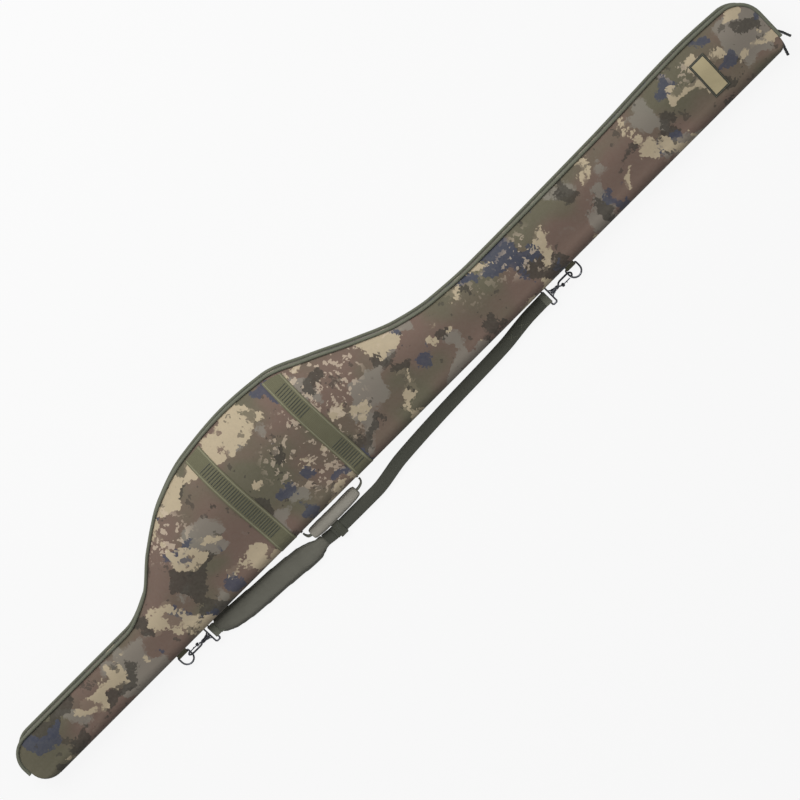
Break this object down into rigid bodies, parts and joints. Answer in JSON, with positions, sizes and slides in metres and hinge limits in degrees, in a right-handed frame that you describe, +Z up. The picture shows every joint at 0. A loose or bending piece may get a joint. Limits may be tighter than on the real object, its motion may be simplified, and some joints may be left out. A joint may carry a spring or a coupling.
{
  "type": "fishing rod case",
  "caption": "Long padded zip case with a wide reel belly, webbing bands, carrying handle and a clip-on shoulder strap; opens along its spine to hold a fishing rod.",
  "frame": {"origin": "on the flat back face, under the middle of the case's length", "axes": "+X along the case towards the tip end, +Y towards the zip side, +Z up out of the front panel"},
  "size_m": [1.9691, 0.3345, 0.0779],
  "materials": {
    "camouflage_cloth": "printed woven polyester",
    "foam": "closed-cell foam sheet",
    "lining": "plain lining cloth",
    "piping": "cloth-covered cord",
    "zip_tape": "woven tape with coil",
    "olive_webbing": "ribbed webbing",
    "label": "bare sewn patch",
    "grip": "padded cloth",
    "pad": "padded cloth",
    "strap_webbing": "woven webbing",
    "pull": "moulded pull",
    "hardware": "gunmetal"
  },
  "bodies": {
    "back_half": {"back_panel": "camouflage_cloth", "back_spine": "camouflage_cloth", "back_foam_spine": "foam", "back_foam_butt": "foam", "back_foam_belly": "foam", "back_foam_tip": "foam", "back_foam_wall": "foam", "back_lining": "lining", "back_gusset": "camouflage_cloth", "back_piping": "piping", "back_zip_tape": "zip_tape", "back_band_butt": "olive_webbing", "back_band_tip": "olive_webbing", "rod_strap_butt": "strap_webbing", "rod_strap_tip": "strap_webbing", "d_ring_tab_butt": "olive_webbing", "d_ring_tab_tip": "olive_webbing", "handle_tab_butt": "strap_webbing", "handle_tab_tip": "strap_webbing"},
    "front_half": {"front_panel": "camouflage_cloth", "front_foam_spine": "foam", "front_foam_butt": "foam", "front_foam_belly": "foam", "front_foam_tip": "foam", "front_foam_wall": "foam", "front_lining": "lining", "front_gusset": "camouflage_cloth", "front_piping": "piping", "front_zip_tape": "zip_tape", "front_band_butt": "olive_webbing", "front_band_tip": "olive_webbing", "label_patch": "label"},
    "handle": {"handle_webbing": "strap_webbing", "handle_grip": "grip"},
    "shoulder_strap": {"hook_base_butt": "hardware", "hook_base_tip": "hardware", "strap_loop_butt": "strap_webbing", "strap_loop_tip": "strap_webbing", "shoulder_pad": "pad", "strap_lower": "strap_webbing", "strap_upper": "strap_webbing"},
    "adjuster": {"strap_adjuster": "hardware"},
    "ring_butt": {"d_ring_butt": "hardware"},
    "hook_butt": {"hook_body_butt": "hardware", "gate_pin_butt": "hardware"},
    "gate_butt": {"gate_butt": "hardware"},
    "ring_tip": {"d_ring_tip": "hardware"},
    "hook_tip": {"hook_body_tip": "hardware", "gate_pin_tip": "hardware"},
    "gate_tip": {"gate_tip": "hardware"},
    "slider_upper": {"zip_slider_upper": "hardware"},
    "pull_upper": {"zip_pull_upper": "pull"},
    "slider_lower": {"zip_slider_lower": "hardware"},
    "pull_lower": {"zip_pull_lower": "pull"}
  },
  "joints": [
    {"name": "front_open", "type": "hinge", "parent": "back_half", "child": "front_half", "pos_m": [0, -0.1, 0.027], "axis": [1, 0, 0], "range_deg": [0, 130]},
    {"name": "handle_swing", "type": "hinge", "parent": "back_half", "child": "handle", "pos_m": [-0.216, -0.108, 0.011], "axis": [1, 0, 0], "range_deg": [-60, 0]},
    {"name": "strap_swing", "type": "hinge", "parent": "back_half", "child": "shoulder_strap", "pos_m": [0, -0.108, 0.011], "axis": [1, 0, 0], "range_deg": [-70, 0]},
    {"name": "ring_butt_swing", "type": "hinge", "parent": "back_half", "child": "ring_butt", "pos_m": [-0.615, -0.108, 0.011], "axis": [1, 0, 0], "range_deg": [-70, 0]},
    {"name": "ring_tip_swing", "type": "hinge", "parent": "back_half", "child": "ring_tip", "pos_m": [0.414, -0.108, 0.011], "axis": [1, 0, 0], "range_deg": [-70, 0]},
    {"name": "hook_butt_swivel", "type": "hinge", "parent": "shoulder_strap", "child": "hook_butt", "pos_m": [-0.5615, -0.1185, 0.011], "axis": [1, 0, 0], "range_deg": [-10, 10]},
    {"name": "gate_butt_press", "type": "hinge", "parent": "hook_butt", "child": "gate_butt", "pos_m": [-0.5815, -0.11452, 0.01575], "axis": [0, -0.766, 0.6428], "range_deg": [0, 16], "stiffness_Nm_per_rad": 0.02},
    {"name": "hook_tip_swivel", "type": "hinge", "parent": "shoulder_strap", "child": "hook_tip", "pos_m": [0.3605, -0.1185, 0.011], "axis": [1, 0, 0], "range_deg": [-10, 10]},
    {"name": "gate_tip_press", "type": "hinge", "parent": "hook_tip", "child": "gate_tip", "pos_m": [0.3805, -0.12248, 0.01575], "axis": [0, 0.766, 0.6428], "range_deg": [0, 16], "stiffness_Nm_per_rad": 0.02},
    {"name": "adjuster_slide", "type": "slide", "parent": "shoulder_strap", "child": "adjuster", "axis": [1, 0, 0], "range_m": [0, 0.08]},
    {"name": "slider_upper_run", "type": "slide", "parent": "back_half", "child": "slider_upper", "axis": [0, 1, 0], "range_m": [0, 0.034]},
    {"name": "slider_lower_run", "type": "slide", "parent": "back_half", "child": "slider_lower", "axis": [0, 1, 0], "range_m": [-0.0015, 0.002]},
    {"name": "pull_upper_turn", "type": "hinge", "parent": "slider_upper", "child": "pull_upper", "pos_m": [0.9772, -0.06, 0.0135], "axis": [0, 0, 1], "range_deg": [0, 95]},
    {"name": "pull_lower_turn", "type": "hinge", "parent": "slider_lower", "child": "pull_lower", "pos_m": [0.9772, -0.072, 0.0135], "axis": [0, 0, 1], "range_deg": [0, 25]}
  ],
  "couplings": [
    {"joint": "ring_butt_swing", "follows": "strap_swing", "ratio": 1},
    {"joint": "ring_tip_swing", "follows": "strap_swing", "ratio": 1}
  ]
}
